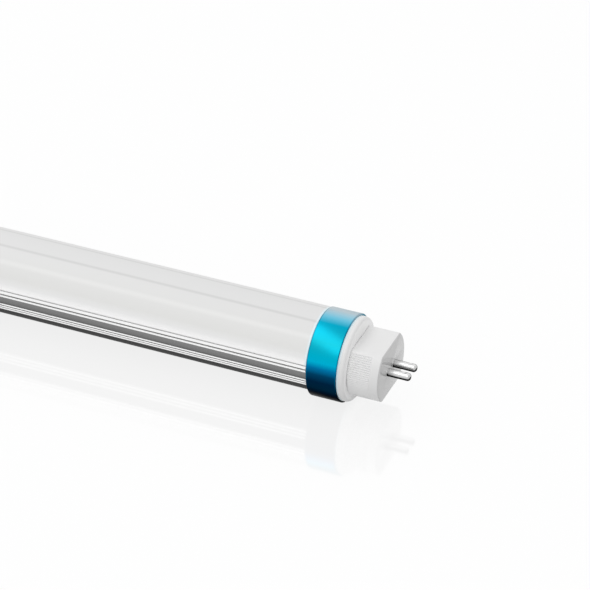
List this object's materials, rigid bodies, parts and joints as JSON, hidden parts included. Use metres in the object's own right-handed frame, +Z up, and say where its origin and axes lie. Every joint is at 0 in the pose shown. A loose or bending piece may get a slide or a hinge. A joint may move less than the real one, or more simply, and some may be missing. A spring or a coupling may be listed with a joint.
{
  "type": "led tube",
  "caption": "Straight LED tube lamp with an aluminium heat sink, frosted cover, blue end rings and turning bi-pin bases.",
  "frame": {"origin": "middle of the lamp, on the tube's axis", "axes": "+X along the tube towards the end with the supply, +Z up through the frosted cover"},
  "size_m": [0.5626, 0.026, 0.026],
  "materials": {
    "heat_sink_metal": "extruded aluminium, clear anodised, fine lines along the tube",
    "frosted_cover": "frosted polycarbonate, satin outside",
    "white_board": "white solder resist on an aluminium board",
    "led_package": "yellow phosphor in a white package",
    "tray_plastic": "moulded insulating plastic",
    "green_board": "green solder resist on glass laminate",
    "fuse_glass": "ceramic fuse barrel with metal ends",
    "blue_coating": "blue epoxy coating over a ceramic disc",
    "yellow_case": "moulded plastic case",
    "ferrite": "dark sintered ferrite",
    "black_case": "moulded black package",
    "can_sleeve": "aluminium can in a dark sleeve",
    "winding_tape": "copper winding under yellow tape",
    "wire_insulation": "flexible insulated wire",
    "blue_ring": "blue anodised aluminium, bright, with a sharp edge",
    "white_cap": "white moulded plastic, semi gloss",
    "white_base": "white moulded plastic, semi gloss, ribbed at the sides",
    "screw_steel": "zinc plated steel",
    "pin_metal": "nickel plated brass, bright",
    "link_brass": "brass strip"
  },
  "bodies": {
    "tube": {"heat_sink": "heat_sink_metal", "diffuser": "frosted_cover", "led_board": "white_board", "leds": "led_package", "driver_tray": "tray_plastic", "driver_board": "green_board", "fuse": "fuse_glass", "varistor": "blue_coating", "film_capacitor": "yellow_case", "filter_choke": "ferrite", "bridge_rectifier": "black_case", "input_capacitor": "can_sleeve", "controller_chip": "black_case", "transformer_core": "ferrite", "transformer_winding": "winding_tape", "output_diode": "black_case", "output_capacitor": "can_sleeve", "front_input_lead": "wire_insulation", "back_input_lead": "wire_insulation", "front_output_lead": "wire_insulation", "back_output_lead": "wire_insulation", "end_rings": "blue_ring", "collars": "white_cap", "collar_screws": "screw_steel"},
    "right_base": {"right_nose": "white_base", "right_front_pin": "pin_metal", "right_back_pin": "pin_metal"},
    "left_base": {"left_nose": "white_base", "left_front_pin": "pin_metal", "left_back_pin": "pin_metal", "left_pin_link": "link_brass"}
  },
  "joints": [
    {"name": "right_base_turn", "type": "hinge", "parent": "tube", "child": "right_base", "pos_m": [0.265, 0, 0], "axis": [1, 0, 0], "range_deg": [-90, 90], "deforming": ["front_input_lead", "back_input_lead"]},
    {"name": "left_base_turn", "type": "hinge", "parent": "tube", "child": "left_base", "pos_m": [-0.265, 0, 0], "axis": [1, 0, 0], "range_deg": [-90, 90]}
  ]
}
